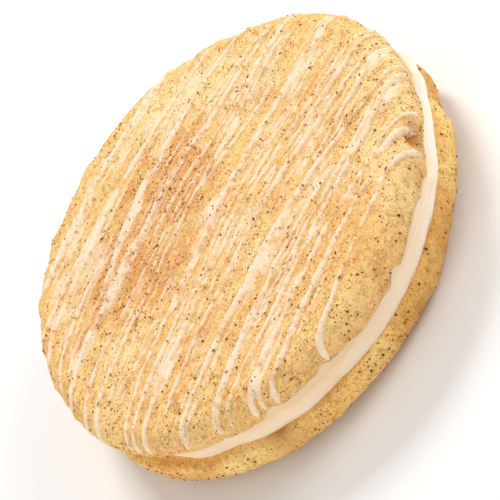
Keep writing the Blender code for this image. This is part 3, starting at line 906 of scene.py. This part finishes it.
def crumb_group():
    """The node group of the crusts' grain: a fine mottle, tiny dark points, a height for the bump, coarser
    grit that breaks up edges, and long streaks that run the way the icing was drizzled."""
    group = bpy.data.node_groups.new("crumb_grain", "ShaderNodeTree")
    for label, scale in (("Mottle Scale", MOTTLE_SCALE), ("Point Scale", POINT_SCALE)):
        socket = group.interface.new_socket(label, in_out="INPUT", socket_type="NodeSocketFloat")
        socket.default_value = scale
    for label in ("Mottle", "Points", "Height", "Grit", "Streaks"):
        group.interface.new_socket(label, in_out="OUTPUT", socket_type="NodeSocketFloat")
    start, end = group.nodes.new("NodeGroupInput"), group.nodes.new("NodeGroupOutput")
    place = group.nodes.new("ShaderNodeTexCoord").outputs["Object"]
    fine = noise_node(group, place, MOTTLE_SCALE, 2.0)
    group.links.new(start.outputs["Mottle Scale"], fine.node.inputs["Scale"])
    broad = noise_node(group, place, BROAD_SCALE)
    mottle = math_node(group, "ADD", scaled(group, fine, 0.6), scaled(group, broad, 0.4))
    group.links.new(ramp_node(group, mottle, 0.34, 0.66), end.inputs["Mottle"])
    cells = group.nodes.new("ShaderNodeTexVoronoi")
    group.links.new(place, cells.inputs["Vector"])
    group.links.new(start.outputs["Point Scale"], cells.inputs["Scale"])
    points = ramp_node(group, cells.outputs["Distance"], 0.30, 0.14)
    patchy = ramp_node(group, noise_node(group, place, PATCH_SCALE, 2.0), 0.42, 0.56)
    group.links.new(scaled(group, points, patchy), end.inputs["Points"])
    coarse = noise_node(group, place, COARSE_SCALE, 3.0, 0.65)
    group.links.new(noise_node(group, place, GRIT_SCALE, 3.0, 0.75), end.inputs["Grit"])
    combed = group.nodes.new("ShaderNodeMapping")
    combed.vector_type = "TEXTURE"
    set_inputs(combed, {"Rotation": (0.0, 0.0, COMB_TURN), "Scale": (COMB_STRETCH, 1.0, 1.0)})
    group.links.new(place, combed.inputs["Vector"])
    group.links.new(noise_node(group, combed.outputs["Vector"], COMB_SCALE, 1.0), end.inputs["Streaks"])
    height = math_node(group, "ADD", scaled(group, fine, 0.4), scaled(group, coarse, 0.6))
    group.links.new(height, end.inputs["Height"])
    return group


def new_material(name):
    """A node material: its tree and its Principled shader."""
    material = bpy.data.materials.new(name)
    material.use_nodes = True
    return material, material.node_tree, material.node_tree.nodes["Principled BSDF"]


def add_bump(tree, shader, height, strength, distance):
    """Roughens a material by a height."""
    bump = tree.nodes.new("ShaderNodeBump")
    set_inputs(bump, {"Strength": strength, "Distance": distance})
    tree.links.new(height, bump.inputs["Height"])
    tree.links.new(bump.outputs["Normal"], shader.inputs["Normal"])


def value_of(tree, name):
    """The number that each point of a piece holds under a name."""
    node = tree.nodes.new("ShaderNodeAttribute")
    node.attribute_name = name
    return node.outputs["Fac"]


def crust_material(name, grain, colours):
    """A soft matt crust: gold mottled with paler and browner crumb, paler and browner places that are
    partly painted light and shade, spice dust with painted shade in the rim's pit, tiny dark points, and
    where the icing lies a smooth pale film that lets a little of the crust through."""
    material, tree, shader = new_material(name)
    crumb = tree.nodes.new("ShaderNodeGroup")
    crumb.node_tree = grain
    set_inputs(crumb, {"Mottle Scale": MOTTLE_SCALE, "Point Scale": POINT_SCALE})
    mottle, shade = crumb.outputs["Mottle"], value_of(tree, "shade")
    grit = math_node(tree, "SUBTRACT", crumb.outputs["Grit"], 0.5)
    dust_shade_and_grit = math_node(tree, "ADD", value_of(tree, "dust_and_shade"), scaled(tree, grit, DUST_GRIT))
    gold = colours["pale"]
    for key, share in (
        ("gold", shade),
        # Partly painted light: the pale patches include light at the lower biscuit's near left.
        ("light", ramp_node(tree, shade, 0.1, -0.4, 0.0, 0.8)),
        ("light", ramp_node(tree, mottle, 0.5, 1.0, 0.0, 0.8)),
        ("brown", ramp_node(tree, mottle, 0.5, 0.0, 0.0, 0.8)),
        # Partly painted shade: the browner patches include shade in the pit and on the lower biscuit's near
        # side.
        ("brown", scaled(tree, value_of(tree, "brown_and_shade"), BROWN_AND_SHADE_SHARE)),
        ("soaked", scaled(tree, value_of(tree, "soak"), SOAK_SHARE)),
        # Partly painted shade: the dust colour also darkens the rim's pit.
        ("dust_and_shade", ramp_node(tree, dust_shade_and_grit, 0.1, 1.2, 0.0, 0.85)),
        ("point", scaled(tree, crumb.outputs["Points"], ramp_node(tree, dust_shade_and_grit, 0.0, 1.0, 0.35, 0.85))),
    ):
        gold = mixed_colour(tree, share, gold, colours[key])
    streaks = ramp_node(tree, crumb.outputs["Streaks"], 0.48, 0.72, 0.0, 0.6)
    streaks = scaled(tree, streaks, value_of(tree, "comb"))
    icing = math_node(tree, "MAXIMUM", value_of(tree, "icing"), streaks)
    icing = ramp_node(tree, math_node(tree, "ADD", icing, scaled(tree, grit, ICING_GRIT)), 0.05, 0.95)
    film = mixed_colour(tree, scaled(tree, mottle, 0.3), colours["icing"], colours["film"])
    body = mixed_colour(tree, scaled(tree, icing, FILM_SHARE), gold, film)
    tree.links.new(body, shader.inputs["Base Color"])
    tree.links.new(ramp_node(tree, icing, 0.2, 0.9, 0.85, 0.55), shader.inputs["Roughness"])
    height = scaled(tree, crumb.outputs["Height"], ramp_node(tree, icing, 0.3, 1.0, 1.0, 0.45))
    add_bump(tree, shader, math_node(tree, "ADD", height, scaled(tree, icing, 0.25)), 0.8, 0.0005)
    set_inputs(shader, CRUST_FINISH)
    return material


def cream_material():
    """Smooth satin cream, faintly streaked, that light sinks into; its warmer colour is partly painted
    shade and partly stain.
    """
    material, tree, shader = new_material("cream")
    place = tree.nodes.new("ShaderNodeTexCoord").outputs["Object"]
    streak = ramp_node(tree, noise_node(tree, place, CREAM_STREAK_SCALE), 0.3, 0.7)
    body = mixed_colour(tree, streak, CREAM_COLOURS["streak"], CREAM_COLOURS["pale"])
    body = mixed_colour(tree, value_of(tree, "warmth_and_shade"), body, CREAM_COLOURS["warmth_and_shade"])
    tree.links.new(body, shader.inputs["Base Color"])
    add_bump(tree, shader, noise_node(tree, place, CREAM_BUMP_SCALE, 2.0), 0.2, 0.0001)
    set_inputs(shader, CREAM_FINISH)
    return material


def grain_material(name, colours, finish):
    """The material of a scattered piece, whose grains each have a colour between two."""
    material, tree, shader = new_material(name)
    tree.links.new(mixed_colour(tree, value_of(tree, "tone"), *colours), shader.inputs["Base Color"])
    set_inputs(shader, finish)
    return material


# How fine the noises of the crusts and of the cream are, in bumps a metre.
MOTTLE_SCALE = 2600.0
POINT_SCALE = 1500.0
BROAD_SCALE = 700.0
PATCH_SCALE = 260.0
COARSE_SCALE = 1500.0
GRIT_SCALE = 1400.0
COMB_SCALE = 1250.0
CREAM_STREAK_SCALE = 160.0
CREAM_BUMP_SCALE = 500.0

# How strongly the browner places, partly painted shade, soaked-in icing and film colour the crust, and
# how far grit breaks up the edges of dust and icing.
BROWN_AND_SHADE_SHARE = 0.55
SOAK_SHARE = 0.25
FILM_SHARE = 0.78
DUST_GRIT = 3.0
ICING_GRIT = 1.2

CRUST_FINISH = {
    "Subsurface Weight": 0.12,
    "Subsurface Radius": (1.0, 0.55, 0.25),
    "Subsurface Scale": 0.0008,
    "Specular IOR Level": 0.3,
}
CREAM_FINISH = {
    "Roughness": 0.5,
    "Subsurface Weight": 0.6,
    "Subsurface Radius": (1.0, 0.7, 0.45),
    "Subsurface Scale": 0.002,
    "Specular IOR Level": 0.4,
}
SPICE_FINISH = {"Roughness": 0.9, "Specular IOR Level": 0.1}
CRUMB_FINISH = {"Roughness": 0.85, "Specular IOR Level": 0.3}

# Spice goes from near black to red-brown, and crumb from pale to golden brown.
# The cream's warm colour is partly painted shade and partly stain.
CREAM_COLOURS = {"streak": (0.955, 0.85, 0.715), "pale": (0.97, 0.90, 0.79), "warmth_and_shade": (0.88, 0.62, 0.38)}
SPICE_COLOURS = ((0.10, 0.034, 0.001), (0.46, 0.19, 0.015))
CRUMB_COLOURS = ((0.94, 0.70, 0.34), (0.74, 0.36, 0.10))
UPPER_COLOURS = {
    "pale": (0.92, 0.61, 0.235),
    "gold": (0.88, 0.49, 0.150),
    "light": (0.96, 0.73, 0.34),
    "brown": (0.61, 0.28, 0.080),
    "soaked": (0.84, 0.43, 0.140),
    "dust_and_shade": (0.70, 0.30, 0.085),
    "point": (0.40, 0.14, 0.03),
    "icing": (0.97, 0.82, 0.66),
    "film": (0.95, 0.75, 0.53),
}
# The lower crust's light colour also paints light at its near left.
LOWER_COLOURS = dict(
    UPPER_COLOURS,
    pale=(0.95, 0.605, 0.195),
    light=(0.98, 0.705, 0.265),
    gold=(0.88, 0.49, 0.140),
    brown=(0.52, 0.235, 0.045),
)

# The soft lights: where each comes from, its size in metres, its power and its colour.
LIGHTS = {
    "key": ((0.20, 0.60, 0.66), 0.3, 5.0, (1.0, 0.98, 0.95)),
    "fill": ((-0.85, -0.50, 0.3), 0.6, 3.1, (1.0, 0.98, 0.95)),
    "side": ((0.92, -0.20, 0.5), 0.4, 3.5, (1.0, 0.985, 0.955)),
}
LIGHT_DISTANCE = 0.9
SURROUND = {"Color": (1.0, 0.985, 0.965, 1.0), "Strength": 0.47}
FLOOR_HALF = 3.0
FLOOR_COLOUR = (0.93, 0.93, 0.93, 1.0)


def add_camera():
    """The camera at the photograph's viewing angle, turned about its own axis as the picture is."""
    lift = Matrix.Rotation(math.radians(90 - CAMERA_ELEVATION), 4, "X")
    roll = Matrix.Rotation(math.radians(-CAMERA_ROLL), 4, "Z")
    back = Matrix.Translation((0, 0, CAMERA_DISTANCE * METRES))
    data = bpy.data.cameras.new("camera")
    data.lens = CAMERA_LENS
    data.sensor_width = 36.0
    data.clip_start = 0.01
    camera = add_object("camera", data)
    camera.matrix_world = Matrix.Translation(Vector(CAMERA_TARGET) * METRES) @ lift @ roll @ back
    bpy.context.scene.camera = camera


def area_light(name, direction, size, watts, colour):
    """A soft square light, looking at the cookie from a direction."""
    data = bpy.data.lights.new(name, "AREA")
    data.size = size
    data.energy = watts
    data.color = colour
    light = add_object(name, data)
    light.location = Vector(direction).normalized() * LIGHT_DISTANCE
    light.rotation_euler = Vector(direction).to_track_quat("Z", "Y").to_euler()


def add_studio():
    """A plain pale floor, three soft lights, and even light all round."""
    mesh = bpy.data.meshes.new("floor")
    corners = [(a * FLOOR_HALF, b * FLOOR_HALF, 0) for a, b in ((-1, -1), (1, -1), (1, 1), (-1, 1))]
    mesh.from_pydata(corners, [], [(0, 1, 2, 3)])
    material, _, shader = new_material("floor")
    set_inputs(shader, {"Base Color": FLOOR_COLOUR, "Roughness": 0.9})
    mesh.materials.append(material)
    floor = add_object("floor", mesh)
    for name, settings in LIGHTS.items():
        area_light(name, *settings)
    world = bpy.data.worlds.new("studio")
    world.use_nodes = True
    set_inputs(world.node_tree.nodes["Background"], SURROUND)
    bpy.context.scene.world = world
    bpy.context.scene.view_settings.view_transform = "Standard"


def main():
    """Makes the studio and the pieces of the cookie."""
    add_camera()
    add_studio()
    grain = crumb_group()
    make_upper_crust(crust_material("upper_crust", grain, UPPER_COLOURS))
    make_lower_crust(crust_material("lower_crust", grain, LOWER_COLOURS))
    make_cream(cream_material())
    make_specks(grain_material("spice", SPICE_COLOURS, SPICE_FINISH))
    make_crumbs(grain_material("crumb", CRUMB_COLOURS, CRUMB_FINISH))


main()
